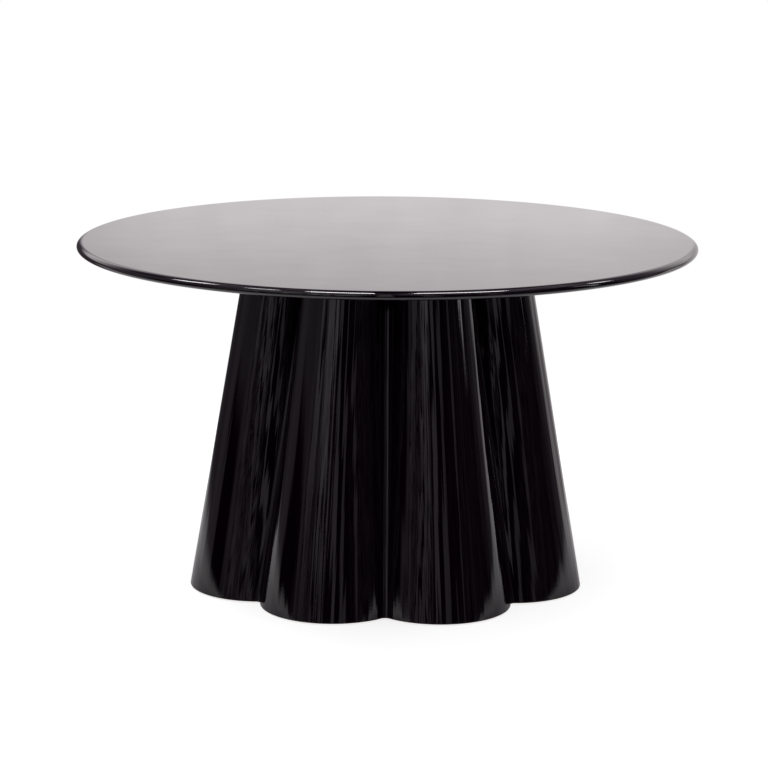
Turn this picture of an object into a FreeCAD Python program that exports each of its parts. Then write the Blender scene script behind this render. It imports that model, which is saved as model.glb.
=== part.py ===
import FreeCAD, Part
import math
import os

# All sizes are in millimetres. The table's axis is Z, the floor is Z = 0 and a valley faces -Y.

# Whole table
table_height = 762.0
top_diameter = 1372.0
top_thickness = 19.0
rim_nose_depth = 14.0

# Pedestal outline: a crest is the outermost line of a lobe, a valley the groove between two lobes
lobe_count = 8
crest_radius_at_foot = 458.0
crest_radius_at_neck = 327.0
valley_depth_at_foot = 68.0
valley_depth_at_neck = 93.0
valley_round = 10.0
outline_spans = 6

# Moulded shell
shell_wall = 6.0
deck_thickness = 8.0
floor_gap = 3.0
foot_bevel = 2.5

# Boards bonded inside the shell
bond_line = 0.5
head_board_thickness = 18.0
head_board_edge_gap = 8.0
foot_ring_thickness = 18.0
foot_ring_width = 100.0

# Bolted joint between pedestal and top
top_bolt_count = 8
top_bolt_edge_distance = 47.0
top_bolt_diameter = 8.0
top_bolt_hole_clearance = 1.0
top_bolt_head_flats = 13.0
top_bolt_head_height = 5.3
top_bolt_tip_gap = 1.0
washer_diameter = 24.0
washer_hole_clearance = 0.2
washer_thickness = 2.0
top_insert_wall = 2.0
top_insert_bore_spare = 1.0
top_insert_cover = 5.0

# Levelling feet, one under each lobe
foot_inset = 62.0
foot_pad_diameter = 44.0
foot_pad_sole = 2.0
foot_pad_lid = 1.7
foot_pad_edge_round = 1.2
stem_diameter = 10.0
stem_button_overhang = 3.0
stem_button_thickness = 2.0
stem_collar_flats = 17.0
stem_collar_height = 5.0
stem_stand_out = 4.0
stem_tip_bevel = 1.0
foot_insert_wall = 3.0
foot_insert_flange_overhang = 4.5
foot_insert_flange_thickness = 2.0

# Clearances
fit_clearance = 0.05
running_clearance = 0.08
end_clearance = 0.15
seat_clearance = 0.3
hex_chamfer_angle = 30.0

# Sizes that follow from those above
half_pitch = math.pi / lobe_count
top_bolt_hole_diameter = top_bolt_diameter + 2 * top_bolt_hole_clearance
washer_hole_diameter = top_bolt_diameter + 2 * washer_hole_clearance
top_insert_bore_diameter = top_bolt_diameter + 2 * fit_clearance
top_insert_diameter = top_insert_bore_diameter + 2 * top_insert_wall
top_insert_length = top_thickness - top_insert_cover - top_insert_bore_spare
stem_button_diameter = stem_diameter + 2 * stem_button_overhang
foot_insert_bore_diameter = stem_diameter + 2 * fit_clearance
foot_insert_diameter = foot_insert_bore_diameter + 2 * foot_insert_wall
foot_insert_flange_diameter = foot_insert_diameter + 2 * foot_insert_flange_overhang

# Levels from the top down to the bolt heads
neck_level = table_height - top_thickness
deck_underside = neck_level - deck_thickness
head_board_underside = deck_underside - head_board_thickness
washer_underside = head_board_underside - washer_thickness

# Levels from the floor up to the foot ring
stem_button_level = foot_pad_sole + end_clearance
foot_pad_pocket_top = stem_button_level + stem_button_thickness + end_clearance
foot_pad_height = foot_pad_pocket_top + foot_pad_lid
stem_collar_level = foot_pad_height + seat_clearance
stem_collar_top = stem_collar_level + stem_collar_height
foot_insert_underside = stem_collar_top + seat_clearance
foot_ring_underside = foot_insert_underside + foot_insert_flange_thickness
foot_ring_top = foot_ring_underside + foot_ring_thickness

up = FreeCAD.Vector(0, 0, 1)


def polar(radius, angle, z):
    return FreeCAD.Vector(radius * math.cos(angle), radius * math.sin(angle), z)


def lobe_angle(lobe):
    return -math.pi / 2 + (2 * lobe + 1) * half_pitch


def wall_line(at_foot, at_neck, z):
    """Value at height z on a straight line from the shell's lower edge to its neck."""
    share = (z - floor_gap) / (neck_level - floor_gap)
    return at_foot + (at_neck - at_foot) * share


def crest_radius(z):
    return wall_line(crest_radius_at_foot, crest_radius_at_neck, z)


def valley_radius(z):
    return crest_radius(z) - wall_line(valley_depth_at_foot, valley_depth_at_neck, z)


def head_board_radius():
    return valley_radius(deck_underside) - shell_wall - head_board_edge_gap


def lobe_circle(z):
    """Distance of the lobes' centres from the axis and the lobes' radius at height z."""
    reach = crest_radius(z) + valley_round
    groove = valley_radius(z) + valley_round
    centre = (reach ** 2 - groove ** 2) / (2 * (reach - groove * math.cos(half_pitch)))
    return centre, crest_radius(z) - centre


def lobed_wire(z, inset):
    """Outline at height z, moved inwards by inset: lobe arcs joined by tangent valley arcs."""
    centre, radius = lobe_circle(z)
    groove = valley_radius(z) + valley_round
    step = (radius - inset) / (radius + valley_round)
    edges = []
    for lobe in range(lobe_count):
        middle = lobe_angle(lobe)
        lobe_centre = polar(centre, middle, z)
        next_centre = polar(centre, middle + 2 * half_pitch, z)
        valley_before = polar(groove, middle - half_pitch, z)
        valley_after = polar(groove, middle + half_pitch, z)
        start = lobe_centre + (valley_before - lobe_centre) * step
        end = lobe_centre + (valley_after - lobe_centre) * step
        next_start = next_centre + (valley_after - next_centre) * step
        crest = polar(centre + radius - inset, middle, z)
        valley = polar(valley_radius(z) - inset, middle + half_pitch, z)
        edges.append(Part.Arc(start, crest, end).toShape())
        edges.append(Part.Arc(end, valley, next_start).toShape())
    return Part.Wire(edges)


def lobed_sections(bottom, top, inset):
    levels = [bottom + (top - bottom) * span / outline_spans for span in range(outline_spans + 1)]
    return [lobed_wire(level, inset) for level in levels]


def cylinder(diameter, bottom, top, centre=FreeCAD.Vector(0, 0, 0)):
    base = FreeCAD.Vector(centre.x, centre.y, bottom)
    return Part.makeCylinder(diameter / 2, top - bottom, base)


def hexagon(flats, bottom, top, centre):
    """Hexagonal prism with its lower corners chamfered, as on a bolt head."""
    corner = flats / math.sqrt(3)
    points = [polar(corner, math.radians(60 * side), bottom) for side in range(7)]
    prism = Part.Face(Part.makePolygon(points)).extrude(up * (top - bottom))
    spread = (top - bottom) / math.tan(math.radians(hex_chamfer_angle))
    cone = Part.makeCone(flats / 2, flats / 2 + spread, top - bottom, FreeCAD.Vector(0, 0, bottom))
    return prism.common(cone).translated(FreeCAD.Vector(centre.x, centre.y, 0))


def top_bolt_places():
    radius = head_board_radius() - top_bolt_edge_distance
    turn = 2 * math.pi / top_bolt_count
    return [polar(radius, lobe_angle(0) + turn * index, 0) for index in range(top_bolt_count)]


def foot_places():
    radius = crest_radius_at_foot - foot_inset
    return [polar(radius, lobe_angle(lobe), 0) for lobe in range(lobe_count)]


def make_top_board():
    """Round board with a half-elliptical rim, bored from below for the threaded inserts."""
    flat_radius = top_diameter / 2 - rim_nose_depth
    middle = neck_level + top_thickness / 2
    nose_centre = FreeCAD.Vector(flat_radius, 0, middle)
    lower = FreeCAD.Vector(flat_radius, 0, neck_level)
    upper = FreeCAD.Vector(flat_radius, 0, table_height)
    tip = FreeCAD.Vector(top_diameter / 2, 0, middle)
    if rim_nose_depth > top_thickness / 2:
        nose = Part.ArcOfEllipse(Part.Ellipse(tip, upper, nose_centre), -math.pi / 2, math.pi / 2)
    else:
        nose = Part.ArcOfEllipse(Part.Ellipse(upper, tip, nose_centre), 0, math.pi)
    foot = FreeCAD.Vector(0, 0, neck_level)
    head = FreeCAD.Vector(0, 0, table_height)
    underside = Part.makeLine(foot, lower)
    face = Part.makeLine(upper, head)
    axis = Part.makeLine(head, foot)
    section = Part.Face(Part.Wire([underside, nose.toShape(), face, axis]))
    board = section.revolve(FreeCAD.Vector(0, 0, 0), up, 360)
    bore_top = neck_level + top_insert_length + top_insert_bore_spare
    bores = [cylinder(top_insert_diameter + 2 * fit_clearance, neck_level, bore_top, place)
             for place in top_bolt_places()]
    return board.cut(Part.makeCompound(bores))


def make_pedestal_shell():
    """Hollow lobed shell, open below and closed by a deck at the neck."""
    outline = [lobed_wire(floor_gap, foot_bevel)]
    outline += lobed_sections(floor_gap + foot_bevel, neck_level, 0)
    outside = Part.makeLoft(outline, True, True)
    inside = Part.makeLoft(lobed_sections(floor_gap, deck_underside, shell_wall), True, True)
    holes = [cylinder(top_bolt_hole_diameter, deck_underside, neck_level, place)
             for place in top_bolt_places()]
    return outside.cut(inside).cut(Part.makeCompound(holes))


def make_head_board():
    """Round board bonded under the deck, which spreads the pull of the bolts."""
    board = cylinder(2 * head_board_radius(), head_board_underside, deck_underside)
    holes = [cylinder(top_bolt_hole_diameter, head_board_underside, deck_underside, place)
             for place in top_bolt_places()]
    return board.cut(Part.makeCompound(holes))


def make_foot_ring():
    """Lobed ring bonded inside the foot of the shell, which carries the levelling feet."""
    outline = lobed_wire(foot_ring_top, shell_wall + bond_line)
    ring = Part.Face(outline).extrude(up * -foot_ring_thickness)
    opening = valley_radius(foot_ring_top) - shell_wall - foot_ring_width
    bores = [cylinder(foot_insert_diameter + 2 * fit_clearance, foot_ring_underside, foot_ring_top, place)
             for place in foot_places()]
    bores.append(cylinder(2 * opening, foot_ring_underside, foot_ring_top))
    return ring.cut(Part.makeCompound(bores))


def make_top_insert(place):
    top = neck_level + top_insert_length
    body = cylinder(top_insert_diameter, neck_level, top, place)
    return body.cut(cylinder(top_insert_bore_diameter, neck_level, top, place))


def make_top_bolt(place):
    tip = neck_level + top_insert_length - top_bolt_tip_gap
    head = hexagon(top_bolt_head_flats, washer_underside - top_bolt_head_height, washer_underside, place)
    shank = cylinder(top_bolt_diameter, washer_underside, tip, place)
    return head.fuse(shank).removeSplitter()


def make_washer(place):
    disc = cylinder(washer_diameter, washer_underside, head_board_underside, place)
    return disc.cut(cylinder(washer_hole_diameter, washer_underside, head_board_underside, place))


def make_foot_insert(place):
    """Threaded insert through the ring, with its flange under the ring."""
    body = cylinder(foot_insert_diameter, foot_ring_underside, foot_ring_top, place)
    flange = cylinder(foot_insert_flange_diameter, foot_insert_underside, foot_ring_underside, place)
    bore = cylinder(foot_insert_bore_diameter, foot_insert_underside, foot_ring_top, place)
    return body.fuse(flange).removeSplitter().cut(bore)


def make_foot_pad(place):
    """Moulded pad with a closed pocket in which the button of the stem turns."""
    disc = cylinder(foot_pad_diameter, 0, foot_pad_height, place)
    rims = [edge for edge in disc.Edges if edge.isClosed()]
    disc = disc.makeFillet(foot_pad_edge_round, rims)
    pocket_diameter = stem_button_diameter + 2 * running_clearance
    pocket = cylinder(pocket_diameter, foot_pad_sole, foot_pad_pocket_top, place)
    throat = cylinder(stem_diameter + 2 * running_clearance, foot_pad_sole, foot_pad_height, place)
    return disc.cut(pocket.fuse(throat))


def make_foot_stem(place):
    """Threaded stem with a hexagonal collar and a button held in the pad."""
    button = cylinder(stem_button_diameter, stem_button_level,
                      stem_button_level + stem_button_thickness, place)
    collar = hexagon(stem_collar_flats, stem_collar_level, stem_collar_top, place)
    tip = foot_ring_top + stem_stand_out
    rod = cylinder(stem_diameter, stem_button_level, tip, place)
    tip_edges = [edge for edge in rod.Edges if edge.isClosed() and edge.BoundBox.ZMin > stem_collar_top]
    rod = rod.makeChamfer(stem_tip_bevel, tip_edges)
    return rod.fuse([button, collar]).removeSplitter()


def save(node, solids):
    shape = solids[0] if len(solids) == 1 else Part.makeCompound(solids)
    shape.exportStep("parts/" + node + ".step")
    print(node, len(shape.Solids), "solid(s), valid", shape.isValid(), "volume", round(shape.Volume))


os.makedirs("parts", exist_ok=True)
save("top_board", [make_top_board()])
save("pedestal_shell", [make_pedestal_shell()])
save("head_board", [make_head_board()])
save("foot_ring", [make_foot_ring()])
save("top_inserts", [make_top_insert(place) for place in top_bolt_places()])
save("top_bolts", [make_top_bolt(place) for place in top_bolt_places()])
save("top_bolt_washers", [make_washer(place) for place in top_bolt_places()])
save("foot_inserts", [make_foot_insert(place) for place in foot_places()])
for number, place in enumerate(foot_places(), start=1):
    save("foot_pad_" + str(number), [make_foot_pad(place)])
    save("foot_stem_" + str(number), [make_foot_stem(place)])
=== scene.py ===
import math

import bpy
from mathutils import Matrix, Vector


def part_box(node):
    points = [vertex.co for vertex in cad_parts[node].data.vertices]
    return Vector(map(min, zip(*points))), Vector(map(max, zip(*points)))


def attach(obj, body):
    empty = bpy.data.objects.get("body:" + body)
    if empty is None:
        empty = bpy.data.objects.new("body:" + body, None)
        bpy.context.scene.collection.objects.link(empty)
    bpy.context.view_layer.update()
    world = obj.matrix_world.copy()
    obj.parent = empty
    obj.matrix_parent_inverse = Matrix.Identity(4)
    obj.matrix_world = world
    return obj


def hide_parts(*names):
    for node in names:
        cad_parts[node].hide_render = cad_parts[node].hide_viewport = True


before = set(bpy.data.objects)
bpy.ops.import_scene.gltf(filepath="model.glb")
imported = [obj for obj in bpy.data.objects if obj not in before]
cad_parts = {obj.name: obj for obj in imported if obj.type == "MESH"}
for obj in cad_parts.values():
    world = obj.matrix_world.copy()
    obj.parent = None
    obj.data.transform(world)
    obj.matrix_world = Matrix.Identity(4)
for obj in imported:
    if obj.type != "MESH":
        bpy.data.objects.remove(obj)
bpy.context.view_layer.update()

fullTurn = 2 * math.pi
toDegrees = 180 / math.pi
white = (1.0, 1.0, 1.0, 1.0)
weldDistance = 0.00002                            # closes seams and poles
hairline = 0.0001                                 # slack where heights are compared


# Node trees: a Field is a socket that can be written in a sum

class Field:
    def __init__(self, tree, socket):
        self.tree = tree
        self.socket = socket

    def make(self, operation, *others):
        node = self.tree.nodes.new("ShaderNodeMath")
        node.operation = operation
        for place, value in zip(node.inputs, (self, *others)):
            feed(self.tree, place, value)
        return Field(self.tree, node.outputs[0])

    def __add__(self, other):
        return self.make("ADD", other)

    def __sub__(self, other):
        return self.make("SUBTRACT", other)

    def __mul__(self, other):
        return self.make("MULTIPLY", other)

    def __truediv__(self, other):
        return self.make("DIVIDE", other)

    def __neg__(self):
        return self * -1

    def __rsub__(self, other):
        return -self + other

    def __rtruediv__(self, other):
        return self.make("POWER", -1.0) * other

    __radd__ = __add__
    __rmul__ = __mul__

    def sin(self):
        return self.make("SINE")

    def cos(self):
        return self.make("COSINE")

    def below(self, limit):
        return self.make("LESS_THAN", limit)

    def share(self, start, end):                  # 0 at start, 1 at end, held outside
        node = self.tree.nodes.new("ShaderNodeMapRange")
        feed(self.tree, node.inputs["Value"], self)
        feed(self.tree, node.inputs["From Min"], start)
        feed(self.tree, node.inputs["From Max"], end)
        return Field(self.tree, node.outputs["Result"])

    def ease(self):                               # rounds off the ends of a share
        return self * self * (3 - 2 * self)

    def window(self, start, full, fade, end):     # rises from start to full, falls from fade to end
        return self.share(start, full).ease() * self.share(end, fade).ease()


def feed(tree, place, value):
    if isinstance(value, Field):
        tree.links.new(value.socket, place)
    elif isinstance(value, bpy.types.NodeSocket):
        tree.links.new(value, place)
    else:
        place.default_value = value


def addNode(tree, kind, settings=None, **inputs):
    node = tree.nodes.new(kind)
    for name, value in (settings or {}).items():
        setattr(node, name, value)
    for name, value in inputs.items():
        feed(tree, node.inputs[name.replace("_", " ")], value)
    return node


def vectorOf(tree, x, y, z):
    return addNode(tree, "ShaderNodeCombineXYZ", X=x, Y=y, Z=z).outputs[0]


def partsOf(tree, vector):
    node = addNode(tree, "ShaderNodeSeparateXYZ", Vector=vector)
    return [Field(tree, node.outputs[axis]) for axis in "XYZ"]


def noise(tree, place, size, detail=3.0, rough=0.5, distortion=0.0):      # size is the blotch's width
    node = addNode(tree, "ShaderNodeTexNoise", Vector=place, Scale=1 / size, Detail=detail,
                   Roughness=rough, Distortion=distortion)
    return Field(tree, node.outputs[0])


# Geometry Nodes: a tree with named inputs, and the plain mesh that it gives

socketKinds = {int: "NodeSocketInt", float: "NodeSocketFloat"}


def newGeometryTree(name, sizes):
    tree = bpy.data.node_groups.new(name, "GeometryNodeTree")
    tree.interface.new_socket("Geometry", in_out="OUTPUT", socket_type="NodeSocketGeometry")
    for label, value in sizes.items():
        tree.interface.new_socket(label, in_out="INPUT", socket_type=socketKinds[type(value)])
    tree.interface.new_socket("Finish", in_out="INPUT", socket_type="NodeSocketMaterial")
    entry = tree.nodes.new("NodeGroupInput")
    return tree, {label: Field(tree, entry.outputs[label]) for label in [*sizes, "Finish"]}


def pointPlace(tree):
    return partsOf(tree, tree.nodes.new("GeometryNodeInputPosition").outputs[0])


def ruledGrid(tree, columns, rows):               # a sheet of points with its two shares, 0 to 1
    grid = addNode(tree, "GeometryNodeMeshGrid", Size_X=1.0, Size_Y=1.0,
                   Vertices_X=columns, Vertices_Y=rows)
    x, y, _ = pointPlace(tree)
    return grid.outputs["Mesh"], x + 0.5, y + 0.5


def moveTo(tree, geometry, place):
    return addNode(tree, "GeometryNodeSetPosition", Geometry=geometry, Position=place).outputs[0]


def weld(tree, geometry):
    return addNode(tree, "GeometryNodeMergeByDistance", Geometry=geometry, Distance=weldDistance).outputs[0]


def join(tree, *pieces):
    node = tree.nodes.new("GeometryNodeJoinGeometry")
    for piece in pieces:
        tree.links.new(piece, node.inputs[0])
    return node.outputs[0]


def roundShade(tree, geometry):
    return addNode(tree, "GeometryNodeSetShadeSmooth", Geometry=geometry, Shade_Smooth=True).outputs[0]


def closeTree(tree, geometry, finish):            # the usual end: real faces with their finish
    real = addNode(tree, "GeometryNodeRealizeInstances", Geometry=geometry)
    dressed = addNode(tree, "GeometryNodeSetMaterial", Geometry=real.outputs[0], Material=finish)
    out = tree.nodes.new("NodeGroupOutput")
    tree.links.new(dressed.outputs[0], out.inputs[0])


def plainMesh(obj):
    graph = bpy.context.evaluated_depsgraph_get()
    return bpy.data.meshes.new_from_object(obj.evaluated_get(graph), depsgraph=graph)


def meshFromTree(tree, sizes, finish):
    holder = bpy.data.objects.new(tree.name, bpy.data.meshes.new(tree.name))
    bpy.context.scene.collection.objects.link(holder)
    modifier = holder.modifiers.new("shape", "NODES")
    modifier.node_group = tree
    values = {**sizes, "Finish": finish}
    for item in tree.interface.items_tree:
        if item.in_out == "INPUT":
            modifier[item.identifier] = values[item.name]
    mesh = plainMesh(holder)
    bpy.data.objects.remove(holder)
    return mesh


def addPiece(name, mesh, body, slot, *nodes):
    obj = bpy.data.objects.new(name, mesh)
    bpy.context.scene.collection.objects.link(obj)
    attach(obj, body)
    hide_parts(*nodes)
    return obj


# Materials: each function makes one finish, with sizes in metres

def newMaterial(name):
    mat = bpy.data.materials.new(name)
    mat.use_nodes = True
    return mat, mat.node_tree, mat.node_tree.nodes["Principled BSDF"]


def objectPlace(tree, scale=(1.0, 1.0, 1.0), source=None):
    if source is None:
        source = tree.nodes.new("ShaderNodeTexCoord").outputs["Object"]
    return addNode(tree, "ShaderNodeMapping", Vector=source, Scale=scale).outputs[0]


def blend(tree, factor, first, second):
    node = addNode(tree, "ShaderNodeMix", {"data_type": "RGBA"}, Factor=factor)
    feed(tree, node.inputs[6], first)
    feed(tree, node.inputs[7], second)
    return node.outputs[2]


def bump(tree, height, depth, under=None):        # depth for a height of 1
    node = addNode(tree, "ShaderNodeBump", Height=height, Distance=depth, Strength=1.0)
    if under is not None:
        tree.links.new(under, node.inputs["Normal"])
    return node.outputs[0]


def dress(tree, skin, colour, rough, normal):     # what every finish drives
    feed(tree, skin.inputs["Base Color"], colour)
    feed(tree, skin.inputs["Roughness"], rough)
    feed(tree, skin.inputs["Normal"], normal)


lacquer = {
    "dark": (0.0026, 0.0003, 0.0027, 1.0),
    "pale": (0.0042, 0.0006, 0.0043, 1.0),
    "rough": 0.03,
    "refraction": 1.5,
}
lobeSkin = {
    "stretch": (1.0, 1.0, 0.025),                 # the streaks run up the lobes
    "broadWidth": 0.034,
    "broadDepth": 0.0022,
    "fineWidth": 0.008,
    "fineDepth": 0.00014,
    "peelWidth": 0.004,
    "peelDepth": 0.00002,
    "cloudWidth": 0.12,
    "dullEdge": (0.35, 0.75),
    "dullRough": 0.04,
}


def makeLobeLacquer():
    mat, tree, skin = newMaterial("lobeLacquer")
    line = tree.nodes.new("ShaderNodeAttribute")
    line.attribute_name = "lobeLine"
    along = objectPlace(tree, scale=lobeSkin["stretch"], source=line.outputs["Vector"])
    broad = noise(tree, along, lobeSkin["broadWidth"], detail=2.0)
    fine = noise(tree, along, lobeSkin["fineWidth"], detail=2.0, rough=0.6)
    peel = noise(tree, objectPlace(tree), lobeSkin["peelWidth"], detail=1.0)
    cloud = noise(tree, objectPlace(tree), lobeSkin["cloudWidth"], detail=4.0)
    ripple = bump(tree, broad, lobeSkin["broadDepth"])
    ripple = bump(tree, fine, lobeSkin["fineDepth"], under=ripple)
    skin.inputs["IOR"].default_value = lacquer["refraction"]
    dress(tree, skin, colour=blend(tree, cloud, lacquer["dark"], lacquer["pale"]),
          rough=fine.share(*lobeSkin["dullEdge"]) * lobeSkin["dullRough"] + lacquer["rough"],
          normal=bump(tree, peel, lobeSkin["peelDepth"], under=ripple))
    return mat


topSkin = {
    "coat": 0.5,
    "coatRough": 0.03,
    "cloudWidth": 0.30,
    "cloudDepth": 0.0006,
    "cloudEdge": (0.3, 0.7),
    "cloudRough": 0.03,
    "mottleWidth": 0.07,
    "mottleDepth": 0.00006,
    "speckWidth": 0.006,
    "speckRough": 0.02,
}


def makeTopLacquer():
    mat, tree, skin = newMaterial("topLacquer")
    cloud = noise(tree, objectPlace(tree), topSkin["cloudWidth"], detail=2.0)
    mottle = noise(tree, objectPlace(tree), topSkin["mottleWidth"], detail=2.0)
    speck = noise(tree, objectPlace(tree), topSkin["speckWidth"], detail=2.0)
    dull = cloud.share(*topSkin["cloudEdge"]) * topSkin["cloudRough"] + speck * topSkin["speckRough"]
    wave = bump(tree, cloud, topSkin["cloudDepth"])
    skin.inputs["IOR"].default_value = lacquer["refraction"]
    skin.inputs["Coat Weight"].default_value = topSkin["coat"]
    skin.inputs["Coat Roughness"].default_value = topSkin["coatRough"]
    skin.inputs["Coat IOR"].default_value = lacquer["refraction"]
    dress(tree, skin, colour=blend(tree, cloud, lacquer["dark"], lacquer["pale"]),
          rough=dull + lacquer["rough"],
          normal=bump(tree, mottle, topSkin["mottleDepth"], under=wave))
    return mat


laminate = {
    "resinDark": (0.060, 0.057, 0.053, 1.0),
    "resinPale": (0.105, 0.098, 0.088, 1.0),
    "strand": (0.22, 0.21, 0.19, 1.0),
    "strandWidth": 0.006,
    "strandStretch": (1.0, 1.0, 0.35),
    "strandEdge": (0.55, 0.72),
    "strandDepth": 0.0012,
    "strandRough": 0.3,
    "cloudWidth": 0.09,
    "rough": 0.35,
}


def makeRawLaminate():                            # the unpainted inside of the moulding
    mat, tree, skin = newMaterial("rawLaminate")
    strands = noise(tree, objectPlace(tree, scale=laminate["strandStretch"]), laminate["strandWidth"],
                    detail=4.0, rough=0.7, distortion=2.5)
    cloud = noise(tree, objectPlace(tree), laminate["cloudWidth"], detail=3.0)
    resin = blend(tree, cloud, laminate["resinDark"], laminate["resinPale"])
    dress(tree, skin, colour=blend(tree, strands.share(*laminate["strandEdge"]), resin, laminate["strand"]),
          rough=strands * laminate["strandRough"] + laminate["rough"],
          normal=bump(tree, strands, laminate["strandDepth"]))
    return mat


birch = {
    "early": (0.60, 0.43, 0.27, 1.0),
    "late": (0.40, 0.26, 0.14, 1.0),
    "flush": (0.68, 0.52, 0.35, 1.0),
    "plyPale": (0.47, 0.32, 0.19, 1.0),
    "plyDark": (0.25, 0.15, 0.08, 1.0),
    "grainWidth": 0.007,
    "grainStretch": (0.09, 1.0, 1.0),
    "grainEdge": (0.3, 0.7),
    "grainDepth": 0.00025,
    "grainRough": 0.2,
    "flushWidth": 0.06,
    "flushStretch": (0.12, 1.0, 1.0),
    "flushEdge": (0.35, 0.75),
    "flushShare": 0.6,
    "plyThickness": 0.0014,
    "plyEdge": (0.35, 0.65),
    "lyingFlat": (0.3, 0.7),                      # how level a face is before it shows its grain
    "rough": 0.5,
}


def makeBirchPly():
    mat, tree, skin = newMaterial("birchPly")
    grain = noise(tree, objectPlace(tree, scale=birch["grainStretch"]), birch["grainWidth"],
                  detail=4.0, rough=0.6, distortion=0.4)
    broad = noise(tree, objectPlace(tree, scale=birch["flushStretch"]), birch["flushWidth"], detail=3.0)
    face = blend(tree, grain.share(*birch["grainEdge"]), birch["early"], birch["late"])
    face = blend(tree, broad.share(*birch["flushEdge"]) * birch["flushShare"], face, birch["flush"])
    height = partsOf(tree, objectPlace(tree))[2]
    plies = (height / birch["plyThickness"]).make("PINGPONG", 1.0).share(*birch["plyEdge"])
    edge = blend(tree, plies, birch["plyPale"], birch["plyDark"])
    facing = partsOf(tree, tree.nodes.new("ShaderNodeNewGeometry").outputs["True Normal"])[2]
    upright = 1 - facing.make("ABSOLUTE").share(*birch["lyingFlat"])
    dress(tree, skin, colour=blend(tree, upright, face, edge),
          rough=grain * birch["grainRough"] + birch["rough"],
          normal=bump(tree, grain, birch["grainDepth"]))
    return mat


zinc = {
    "colour": (0.60, 0.61, 0.63, 1.0),
    "worn": (0.42, 0.43, 0.44, 1.0),
    "rough": 0.20,
    "markWidth": 0.0006,
}
brass = {
    "colour": (0.71, 0.51, 0.23, 1.0),
    "worn": (0.45, 0.31, 0.14, 1.0),
    "rough": 0.16,
    "markWidth": 0.0005,
}
turning = {                                       # the marks that both metals have
    "markStretch": (0.15, 0.15, 1.0),
    "markDepth": 0.00004,
    "markRough": 0.18,
    "stainWidth": 0.004,
    "stainEdge": (0.45, 0.75),
    "stainRough": 0.12,
}


def makeMetal(name, metal):
    mat, tree, skin = newMaterial(name)
    skin.inputs["Metallic"].default_value = 1.0
    marks = noise(tree, objectPlace(tree, scale=turning["markStretch"]), metal["markWidth"], detail=3.0)
    stain = noise(tree, objectPlace(tree), turning["stainWidth"], detail=4.0)
    dress(tree, skin, colour=blend(tree, stain.share(*turning["stainEdge"]), metal["colour"], metal["worn"]),
          rough=marks * turning["markRough"] + stain * turning["stainRough"] + metal["rough"],
          normal=bump(tree, marks, turning["markDepth"]))
    return mat


nylon = {
    "plain": (0.022, 0.022, 0.023, 1.0),
    "scuffed": (0.060, 0.058, 0.056, 1.0),
    "refraction": 1.53,
    "gritWidth": 0.0008,
    "gritDepth": 0.00006,
    "scuffWidth": 0.009,
    "scuffEdge": (0.5, 0.8),
    "scuffRough": 0.25,
    "rough": 0.36,
}


def makeNylon():
    mat, tree, skin = newMaterial("mouldedNylon")
    skin.inputs["IOR"].default_value = nylon["refraction"]
    grit = noise(tree, objectPlace(tree), nylon["gritWidth"], detail=3.0)
    scuff = noise(tree, objectPlace(tree), nylon["scuffWidth"], detail=5.0, rough=0.65)
    dress(tree, skin, colour=blend(tree, scuff.share(*nylon["scuffEdge"]), nylon["plain"], nylon["scuffed"]),
          rough=scuff * nylon["scuffRough"] + nylon["rough"], normal=bump(tree, grit, nylon["gritDepth"]))
    return mat


lobeLacquer = makeLobeLacquer()
topLacquer = makeTopLacquer()
rawLaminate = makeRawLaminate()
birchPly = makeBirchPly()
zincPlate = makeMetal("zincPlate", zinc)
turnedBrass = makeMetal("turnedBrass", brass)
mouldedNylon = makeNylon()
print("finishes:", len(bpy.data.materials))


# Pedestal: lobes joined by valleys, straight from foot to neck

pedestalLook = {
    "wall": 0.006,
    "edge": 0.0022,
    "edgeSteps": 3,
    "edgeAngle": math.radians(50),
    "boltInset": 0.047,                           # from the head board's edge to the bolts
    "holeSteps": 24,
    "rippleStretch": (1.0, 1.0, 0.12),
    "rippleStop": 0.02,                           # the ripples die out over this height at the neck
}
pedestalSizes = {
    "Lobes": 8,
    "Crest at Foot": 0.458,
    "Crest at Neck": 0.327,
    "Valley Depth at Foot": 0.068,
    "Valley Depth at Neck": 0.093,
    "Valley Round": 0.010,
    "Lower Edge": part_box("pedestal_shell")[0].z,
    "Neck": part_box("pedestal_shell")[1].z,
    "Columns per Lobe": 100,
    "Rows": 49,
    "Lobe Share": 0.88,
    "Ripple": 0.0005,
    "Ripple Length": 0.11,
    "Hole Circle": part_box("head_board")[1].x - pedestalLook["boltInset"],
    "Hole Radius": 0.005,
}


def lobedPlace(size, across, along):              # the outline's rule, as in the part's own source
    halfPitch = math.pi / size["Lobes"]
    footDepth = size["Valley Depth at Foot"]
    crest = size["Crest at Foot"] + (size["Crest at Neck"] - size["Crest at Foot"]) * along
    depth = footDepth + (size["Valley Depth at Neck"] - footDepth) * along
    rounding = size["Valley Round"]
    reach = crest + rounding
    groove = crest - depth + rounding
    centre = (reach * reach - groove * groove) / ((reach - groove * halfPitch.cos()) * 2)
    radius = crest - centre
    valleyAngle = (centre * halfPitch.sin() / (radius + rounding)).make("ARCSINE")
    turn = across * size["Lobes"]
    local = turn.make("FRACT")
    middle = (turn.make("FLOOR") * 2 + 1) * halfPitch - math.pi / 2
    onLobe = local.below(size["Lobe Share"])
    lobeTurn = middle + (valleyAngle + halfPitch) * (local.share(0.0, size["Lobe Share"]) * 2 - 1)
    valley = middle + halfPitch
    valleyTurn = valley + math.pi + valleyAngle * (1 - local.share(size["Lobe Share"], 1.0) * 2)
    x = (centre * middle.cos() + radius * lobeTurn.cos()) * onLobe \
        + (groove * valley.cos() + rounding * valleyTurn.cos()) * (1 - onLobe)
    y = (centre * middle.sin() + radius * lobeTurn.sin()) * onLobe \
        + (groove * valley.sin() + rounding * valleyTurn.sin()) * (1 - onLobe)
    return x, y


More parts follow.
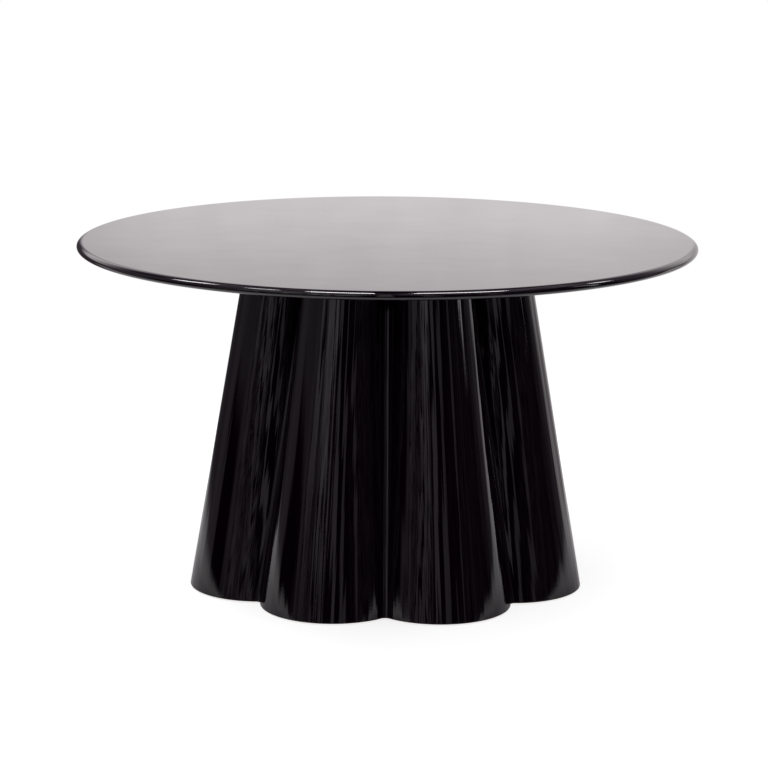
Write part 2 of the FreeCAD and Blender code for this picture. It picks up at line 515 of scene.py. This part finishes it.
def lobedWall(tree, size):                        # each point keeps its place along the lobes for the lacquer
    grid, across, along = ruledGrid(tree, size["Lobes"] * size["Columns per Lobe"] + 1, size["Rows"])
    z = size["Lower Edge"] + (size["Neck"] - size["Lower Edge"]) * along
    around = across * fullTurn
    line = vectorOf(tree, size["Crest at Foot"] * around.cos(), size["Crest at Foot"] * around.sin(), z)
    marked = addNode(tree, "GeometryNodeStoreNamedAttribute", {"data_type": "FLOAT_VECTOR"},
                     Geometry=grid, Name="lobeLine", Value=line)
    x, y = lobedPlace(size, across, along)
    return weld(tree, moveTo(tree, marked.outputs[0], vectorOf(tree, x, y, z)))


def rippled(tree, size, wall, height):            # slow waves of a hand-finished lacquer run along the lobes
    line = addNode(tree, "GeometryNodeInputNamedAttribute", {"data_type": "FLOAT_VECTOR"}, Name="lobeLine")
    stretched = addNode(tree, "ShaderNodeVectorMath", {"operation": "MULTIPLY"}, Vector=line.outputs[0])
    stretched.inputs[1].default_value = pedestalLook["rippleStretch"]
    wave = noise(tree, stretched.outputs[0], size["Ripple Length"], detail=1.0)
    fade = height.share(size["Neck"], size["Neck"] - pedestalLook["rippleStop"])
    push = addNode(tree, "ShaderNodeVectorMath", {"operation": "SCALE"},
                   Vector=tree.nodes.new("GeometryNodeInputNormal").outputs[0],
                   Scale=(wave - 0.5) * size["Ripple"] * 2 * fade)
    return addNode(tree, "GeometryNodeSetPosition", Geometry=wall, Offset=push.outputs[0]).outputs[0]


def boredDeck(tree, size, wall, height):          # closes the neck, with holes for the bolts
    atNeck = 1 - height.below(size["Neck"] - hairline)
    outline = addNode(tree, "GeometryNodeMeshToCurve", Mesh=wall, Selection=atNeck)
    circle = addNode(tree, "GeometryNodeMeshCircle", Vertices=size["Lobes"], Radius=size["Hole Circle"])
    turned = addNode(tree, "GeometryNodeTransform", Geometry=circle.outputs[0],
                     Rotation=vectorOf(tree, 0.0, 0.0, math.pi / size["Lobes"]))
    hole = addNode(tree, "GeometryNodeCurvePrimitiveCircle", Resolution=pedestalLook["holeSteps"],
                   Radius=size["Hole Radius"])
    holes = addNode(tree, "GeometryNodeInstanceOnPoints", Points=turned.outputs[0],
                    Instance=hole.outputs[0])
    holes = addNode(tree, "GeometryNodeRealizeInstances", Geometry=holes.outputs[0])
    deck = addNode(tree, "GeometryNodeFillCurve", Curve=join(tree, holes.outputs[0], outline.outputs[0]))
    lifted = addNode(tree, "GeometryNodeTransform", Geometry=deck.outputs[0],
                     Translation=vectorOf(tree, 0.0, 0.0, size["Neck"]))
    return lifted.outputs[0]


def makePedestalTree():
    tree, size = newGeometryTree("lobedPedestal", pedestalSizes)
    height = pointPlace(tree)[2]
    wall = rippled(tree, size, lobedWall(tree, size), height)
    skin = weld(tree, join(tree, boredDeck(tree, size, wall, height), wall))
    closeTree(tree, roundShade(tree, skin), size["Finish"])
    return tree


def wallUp(mesh):                                 # the skin gets its wall and rounded edges
    shell = bpy.data.objects.new("shell", mesh)
    bpy.context.scene.collection.objects.link(shell)
    mesh.materials.append(rawLaminate)
    solid = shell.modifiers.new("wall", "SOLIDIFY")
    solid.thickness = pedestalLook["wall"]
    solid.offset = -1.0
    solid.use_even_offset = True
    solid.material_offset = 1
    soft = shell.modifiers.new("edges", "BEVEL")
    soft.width = pedestalLook["edge"]
    soft.segments = pedestalLook["edgeSteps"]
    soft.limit_method = "ANGLE"
    soft.angle_limit = pedestalLook["edgeAngle"]
    soft.harden_normals = True
    result = plainMesh(shell)
    bpy.data.objects.remove(shell)
    return result


pedestalSkin = meshFromTree(makePedestalTree(), pedestalSizes, lobeLacquer)
pedestal = addPiece("lobed_pedestal", wallUp(pedestalSkin), "table", "lacquered_shell", "pedestal_shell")
print("pedestal:", len(pedestal.data.polygons), "faces")


# Top: a thin round board with a half-elliptical rim

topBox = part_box("top_board")
topSizes = {
    "Radius": topBox[1].x,
    "Underside": topBox[0].z,
    "Thickness": topBox[1].z - topBox[0].z,
    "Nose Depth": 0.014,
    "Columns": 288,
    "Rows": 101,
    "Under Share": 0.2,
    "Nose Share": 0.5,
}


def makeTopTree():
    tree, size = newGeometryTree("roundTop", topSizes)
    grid, across, along = ruledGrid(tree, size["Columns"] + 1, size["Rows"])
    flat = size["Radius"] - size["Nose Depth"]
    noseEnd = size["Under Share"] + size["Nose Share"]
    under = along.share(0.0, size["Under Share"])
    nose = (along.share(size["Under Share"], noseEnd) - 0.5) * math.pi
    over = along.share(noseEnd, 1.0)
    inner = flat * (1 - (1 - under) * (1 - under)) * (1 - over * over)
    radius = inner + size["Nose Depth"] * nose.cos()
    z = size["Underside"] + size["Thickness"] * (nose.sin() * 0.5 + 0.5)
    around = across * fullTurn
    board = moveTo(tree, grid, vectorOf(tree, radius * around.cos(), radius * around.sin(), z))
    closeTree(tree, roundShade(tree, weld(tree, board)), size["Finish"])
    return tree


topMesh = meshFromTree(makeTopTree(), topSizes, topLacquer)
top = addPiece("round_top", topMesh, "table", "lacquered_board", "top_board")
print("top:", len(top.data.polygons), "faces")


# Levelling stems: an outline turned about its axis, with a hexagonal collar and a helical thread

stemLook = {
    "collarGap": 0.0003,                          # between the pad and the collar
    "chamfer": math.radians(30),
    "chamferSteps": 4,
    "threadSteps": 124,
    "threadCrest": 0.875,                         # shares of the half pitch where the flats end
    "threadRoot": 0.25,
    "crease": math.radians(28),
}
stemSizes = {
    "Place X": 0.0,
    "Place Y": 0.0,
    "Low End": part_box("foot_stem_1")[0].z,
    "Tip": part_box("foot_stem_1")[1].z,
    "Tip Bevel": 0.001,
    "Rod Radius": 0.005,
    "Button Radius": 0.008,
    "Button Thickness": 0.002,
    "Collar Underside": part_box("foot_pad_1")[1].z + stemLook["collarGap"],
    "Collar Height": 0.005,
    "Collar Flats": 0.017,
    "Thread Pitch": 0.0015,
    "Thread Depth": 0.0009,
    "Thread Run-in": 0.0008,
    "Columns": 48,
}


def turnedOutline(stations, along):               # radius and height, straight from station to station
    total = sum(steps for _, _, steps in stations)
    radius, height, done = stations[0]
    for before, after in zip(stations, stations[1:]):
        part = along.share(done / total, (done + after[2]) / total)
        radius = (after[0] - before[0]) * part + radius
        height = (after[1] - before[1]) * part + height
        done += after[2]
    return radius, height


def makeStemTree():
    tree, size = newGeometryTree("levellingStem", stemSizes)
    rod, low, tip, bevel = [size[name] for name in ("Rod Radius", "Low End", "Tip", "Tip Bevel")]
    buttonTop = low + size["Button Thickness"]
    collarLow = size["Collar Underside"]
    collarTop = collarLow + size["Collar Height"]
    flat = size["Collar Flats"] / 2
    corner = size["Collar Flats"] / math.sqrt(3)
    stations = [                                  # radius, height, and the steps that lead there
        (0.0, low, 0),
        (size["Button Radius"], low, 1),
        (size["Button Radius"], buttonTop, 1),
        (rod, buttonTop, 1),
        (rod, collarLow, 1),
        (flat, collarLow, 1),
        (corner, collarLow + (corner - flat) * math.tan(stemLook["chamfer"]), stemLook["chamferSteps"]),
        (corner, collarTop, 1),
        (rod, collarTop, 1),
        (rod, tip - bevel, stemLook["threadSteps"]),
        (rod - bevel, tip, 1),
        (0.0, tip, 1),
    ]
    rows = sum(steps for _, _, steps in stations) + 1
    grid, across, along = ruledGrid(tree, size["Columns"] + 1, rows)
    radius, z = turnedOutline(stations, along)
    sixth = math.pi / 3
    around = across * fullTurn
    fromFlat = ((around / sixth).make("FRACT") - 0.5) * sixth
    climb = ((z - collarTop) / size["Thread Pitch"] - across).make("FRACT")
    groove = ((climb - 0.5).make("ABSOLUTE") * 2).share(stemLook["threadCrest"], stemLook["threadRoot"])
    fade = z.share(collarTop, collarTop + size["Thread Run-in"]) * z.share(tip, tip - bevel)
    radius = radius.make("MINIMUM", flat / fromFlat.cos()) - size["Thread Depth"] * groove * fade
    x = size["Place X"] + radius * around.cos()
    y = size["Place Y"] + radius * around.sin()
    stem = roundShade(tree, weld(tree, moveTo(tree, grid, vectorOf(tree, x, y, z))))
    # the button and the collar keep their edges, the thread is shaded round
    fold = Field(tree, tree.nodes.new("GeometryNodeInputMeshEdgeAngle").outputs["Unsigned Angle"])
    onCollar = pointPlace(tree)[2].below(collarTop + hairline)
    creased = addNode(tree, "GeometryNodeSetShadeSmooth", {"domain": "EDGE"}, Geometry=stem,
                      Selection=(1 - fold.below(stemLook["crease"])) * onCollar, Shade_Smooth=False)
    closeTree(tree, creased.outputs[0], size["Finish"])
    return tree


footNumbers = range(1, pedestalSizes["Lobes"] + 1)
stemTree = makeStemTree()
for number in footNumbers:
    node = "foot_stem_" + str(number)
    middle = (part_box(node)[0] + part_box(node)[1]) / 2
    stemMesh = meshFromTree(stemTree, {**stemSizes, "Place X": middle.x, "Place Y": middle.y}, zincPlate)
    stem = addPiece("levelling_stem_" + str(number), stemMesh, node, "zinc_steel", node)
print("stems:", len(footNumbers), "of", len(stem.data.polygons), "faces")


# Finishes of the parts that keep their own solids

nodeFinish = {
    "head_board": birchPly,
    "foot_ring": birchPly,
    "top_inserts": turnedBrass,
    "foot_inserts": turnedBrass,
    "top_bolts": zincPlate,
    "top_bolt_washers": zincPlate,
}
for number in footNumbers:
    nodeFinish["foot_pad_" + str(number)] = mouldedNylon
for node, finish in nodeFinish.items():
    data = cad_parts[node].data
    data.materials.clear()
    data.materials.append(finish)
print("dressed:", len(nodeFinish), "nodes")


# Studio: pale floor, soft lamps, and a white room in which the lacquer sees a dim one

studio = {
    "floorFull": 0.7,
    "floorEnd": 2.1,
    "floorColour": (0.82, 0.82, 0.82, 1.0),
    "floorGlow": 0.74,
    "floorInMirror": 0.18,
    "ambient": 0.45,
    "brightTint": (1.0, 0.954, 0.966, 1.0),
    "dimTint": (1.0, 0.89, 0.99, 1.0),
    "tintRange": (0.2, 0.8),
    "roomLevel": 0.003,
}
backdrop = {
    "edge": (166.0, 176.0),
    "rise": 8.4,
    "fade": 7.8,
    "lean": 0.35,
    "cloudWidth": 0.018,
    "cloudSquash": 2.0,
    "cloudShare": 0.20,
}
ceiling = {
    "rise": (42.0, 52.0),
    "level": 0.12,
    "panelLevel": 0.38,
    "panelPitch": (0.26, 0.50),                   # across and along, for a ceiling at a height of 1
    "panelEdge": (0.30, 0.62),
    "lowest": 0.1,
}
# What the lacquer sees around the room: bearings and rises in degrees, levels as a share of white
plainWalls = [
    {"level": 0.17, "bearing": (-132.0, -108.0, -66.0, -54.0), "rise": (-40.0, -30.0, 60.0, 70.0)},
    {"level": 0.06, "bearing": (-179.0, -174.0, -132.0, -108.0), "rise": (-40.0, -30.0, 60.0, 70.0)},
    {"level": 0.09, "bearing": (88.0, 108.0, 150.0, 172.0), "rise": (-40.0, -30.0, 60.0, 70.0)},
    {"level": 0.60, "bearing": (128.0, 150.0, 170.0, 178.0), "rise": (-40.0, -30.0, 10.0, 20.0)},
    {"level": 3.00, "bearing": (77.5, 79.0, 81.0, 82.5), "rise": (2.8, 5.0, 30.0, 40.0)},
    {"level": 0.80, "bearing": (118.0, 125.0, 131.0, 137.0), "rise": (-40.0, -30.0, 0.0, 3.0)},
    {"level": 0.60, "bearing": (-137.0, -131.0, -125.0, -118.0), "rise": (-40.0, -30.0, -8.5, -6.0)},
    {"level": 0.40, "bearing": (-4.5, -2.5, 1.0, 3.0), "rise": (-12.0, -4.0, 60.0, 70.0)},
    {"level": 0.30, "bearing": (12.0, 14.0, 18.0, 21.0), "rise": (-8.0, 3.0, 60.0, 70.0)},
    {"level": 0.22, "bearing": (35.5, 37.5, 40.0, 42.5), "rise": (-12.0, -4.0, 60.0, 70.0)},
    {"level": 1.00, "bearing": (-178.0, -170.0, -150.0, -112.0), "rise": (10.0, 18.0, 20.0, 38.0)},
    {"level": 0.78, "bearing": (112.0, 150.0, 170.0, 178.0), "rise": (10.0, 18.0, 20.0, 38.0)},
]
slattedWindows = [
    {"level": 0.28, "bearing": (-66.0, -56.0, -14.0, -5.0), "rise": (-14.0, -6.0, 60.0, 70.0)},
    {"level": 0.42, "bearing": (-62.0, -52.0, -14.0, -5.0), "rise": (1.5, 9.0, 60.0, 70.0)},
    {"level": 0.07, "bearing": (24.0, 36.0, 70.0, 90.0), "rise": (-12.0, 4.0, 60.0, 70.0)},
    {"level": 0.12, "bearing": (80.0, 96.0, 140.0, 160.0), "rise": (-12.0, 4.0, 60.0, 70.0)},
]
darkGap = {
    "bearing": (-99.0, -94.0, -70.0, -63.0),
    "top": 2.0,
    "middle": -80.0,
    "slope": 0.05,
    "soft": 0.6,
}
slats = {
    "width": 5.0,
    "share": 0.75,
    "fineWidth": 2.0,
    "fineShare": 0.5,
    "height": 28.0,
    "edge": (0.46, 0.54),
}
overheadBoxes = [                                 # the soft boxes over the table
    {"name": "leftBox", "place": (-2.10, 0.45, 3.2), "width": 0.9, "depth": 0.45, "power": 17.0},
    {"name": "outerBox", "place": (-1.33, -0.46, 3.2), "width": 0.43, "depth": 0.30, "power": 5.0},
    {"name": "innerBox", "place": (-0.45, -0.54, 3.2), "width": 0.66, "depth": 0.32, "power": 19.0},
    {"name": "middleBox", "place": (0.73, -0.40, 3.2), "width": 0.96, "depth": 0.40, "power": 24.0},
    {"name": "rightBox", "place": (2.62, 0.52, 3.2), "width": 0.75, "depth": 0.40, "power": 8.4},
]


def rayIs(tree, kind):
    return Field(tree, tree.nodes.new("ShaderNodeLightPath").outputs["Is " + kind + " Ray"])


def makeFloor():                                  # a round sheet that fades into the white around it
    reach = studio["floorEnd"]
    corners = [(-reach, -reach, 0.0), (reach, -reach, 0.0), (reach, reach, 0.0), (-reach, reach, 0.0)]
    mesh = bpy.data.meshes.new("floor")
    mesh.from_pydata(corners, [], [(0, 1, 2, 3)])
    floor = bpy.data.objects.new("floor", mesh)
    bpy.context.scene.collection.objects.link(floor)
    mat = bpy.data.materials.new("paleFloor")
    mat.use_nodes = True
    tree = mat.node_tree
    tree.nodes.clear()
    mirrored = rayIs(tree, "Glossy").make("MAXIMUM", rayIs(tree, "Transmission"))
    matt = addNode(tree, "ShaderNodeBsdfDiffuse", Color=studio["floorColour"])
    glow = addNode(tree, "ShaderNodeEmission", Color=blend(tree, mirrored, white, studio["dimTint"]),
                   Strength=rayIs(tree, "Camera") * studio["floorGlow"] + mirrored * studio["floorInMirror"])
    both = tree.nodes.new("ShaderNodeAddShader")
    tree.links.new(matt.outputs[0], both.inputs[0])
    tree.links.new(glow.outputs[0], both.inputs[1])
    distance = addNode(tree, "ShaderNodeVectorMath", {"operation": "LENGTH"}, Vector=objectPlace(tree))
    there = Field(tree, distance.outputs["Value"]).share(studio["floorEnd"], studio["floorFull"]).ease()
    under = Field(tree, tree.nodes.new("ShaderNodeNewGeometry").outputs["Backfacing"])
    # open from below, and to the soft light that reaches the underside of the table
    sheet = addNode(tree, "ShaderNodeMixShader", Fac=there * (1 - under) * (1 - rayIs(tree, "Diffuse")))
    tree.links.new(tree.nodes.new("ShaderNodeBsdfTransparent").outputs[0], sheet.inputs[1])
    tree.links.new(both.outputs[0], sheet.inputs[2])
    out = tree.nodes.new("ShaderNodeOutputMaterial")
    tree.links.new(sheet.outputs[0], out.inputs["Surface"])
    mesh.materials.append(mat)


def windowSum(bearing, rise, panes):              # each pane lights its own window of bearings and rises
    return sum(pane["level"] * bearing.window(*pane["bearing"]) * rise.window(*pane["rise"])
               for pane in panes)


def slatNoise(tree, bearing, rise, width):        # upright streaks of light, 0 to 1
    place = vectorOf(tree, bearing / width, rise / slats["height"], width)
    return noise(tree, place, 1.0, detail=1.0).share(*slats["edge"])


def roomLight(tree, bearing, rise):               # dim walls with a dark gap, and windows behind slats
    gapTop = darkGap["top"] + (bearing - darkGap["middle"]) * darkGap["slope"]
    gap = bearing.window(*darkGap["bearing"])
    gap = gap * rise.share(gapTop + darkGap["soft"], gapTop - darkGap["soft"])
    broad = slatNoise(tree, bearing, rise, slats["width"])
    fine = slatNoise(tree, bearing, rise, slats["fineWidth"])
    streaks = broad * slats["share"] + fine * slats["fineShare"]
    walls = windowSum(bearing, rise, plainWalls) * (1 - gap)
    return walls + windowSum(bearing, rise, slattedWindows) * streaks + studio["roomLevel"]


def ceilingLight(x, y, z, rise):                  # rows of soft panels
    overhead = z.make("MAXIMUM", ceiling["lowest"])
    panels = 1.0
    for way, pitch in zip((x, y), ceiling["panelPitch"]):
        wave = (way / overhead / pitch).make("PINGPONG", 0.5) * 2
        panels = wave.share(*ceiling["panelEdge"]).ease() * panels
    return rise.share(*ceiling["rise"]) * (panels * ceiling["panelLevel"] + ceiling["level"])


def backdropLight(tree, x, z, rise):              # pale, a little cloudy, and lighter to the right
    fall = ((backdrop["rise"] - rise) / backdrop["fade"]).make("EXPONENT").make("MINIMUM", 1.0)
    place = vectorOf(tree, x, z * backdrop["cloudSquash"], 0.0)
    cloud = noise(tree, place, backdrop["cloudWidth"], detail=2.0)
    return fall * (x * backdrop["lean"] + (cloud - 0.5) * backdrop["cloudShare"] + 1)


def makeWorld():                                  # white to the eye, a dim room to the lacquer
    world = bpy.data.worlds.new("studio")
    bpy.context.scene.world = world
    world.use_nodes = True
    tree = world.node_tree
    tree.nodes.clear()
    x, y, z = partsOf(tree, tree.nodes.new("ShaderNodeTexCoord").outputs["Generated"])
    bearing = x.make("ARCTAN2", -y) * toDegrees   # 0 behind the camera, positive to the right
    rise = z.make("ARCSINE") * toDegrees
    room = roomLight(tree, bearing, rise) + ceilingLight(x, y, z, rise)
    behind = bearing.make("ABSOLUTE").share(*backdrop["edge"]).ease()
    mirrored = room * (1 - behind) + behind * backdropLight(tree, x, z, rise)
    toEye = rayIs(tree, "Camera").make("MAXIMUM", rayIs(tree, "Transmission"))
    toLacquer = rayIs(tree, "Glossy")
    level = toEye + (1 - toEye) * (toLacquer * mirrored + (1 - toLacquer) * studio["ambient"])
    tint = blend(tree, mirrored.share(*studio["tintRange"]), studio["dimTint"], studio["brightTint"])
    sky = addNode(tree, "ShaderNodeBackground", Color=blend(tree, toLacquer, white, tint), Strength=level)
    out = tree.nodes.new("ShaderNodeOutputWorld")
    tree.links.new(sky.outputs[0], out.inputs["Surface"])


def addOverheadBox(box):
    light = bpy.data.lights.new(box["name"], "AREA")
    light.shape = "RECTANGLE"
    light.size = box["width"]
    light.size_y = box["depth"]
    light.energy = box["power"]
    lamp = bpy.data.objects.new(box["name"], light)     # a lamp at rest shines straight down
    bpy.context.scene.collection.objects.link(lamp)
    lamp.location = box["place"]


makeFloor()
makeWorld()
for box in overheadBoxes:
    addOverheadBox(box)
print("studio ready")


# Camera at the photograph's viewpoint

view = {
    "place": (-0.0057, -5.944, 1.689),
    "pitch": 0.2084,
    "roll": 0.0060,
    "lens": 126.9,
    "sensor": 36.0,
}
eye = bpy.data.cameras.new("eye")
eye.lens = view["lens"]
eye.sensor_width = view["sensor"]
eyeObject = bpy.data.objects.new("eye", eye)
bpy.context.scene.collection.objects.link(eyeObject)
turn = Matrix.Rotation(math.pi / 2 - view["pitch"], 4, "X") @ Matrix.Rotation(view["roll"], 4, "Z")
eyeObject.matrix_world = Matrix.Translation(view["place"]) @ turn
bpy.context.scene.camera = eyeObject
bpy.context.scene.view_settings.view_transform = "Standard"
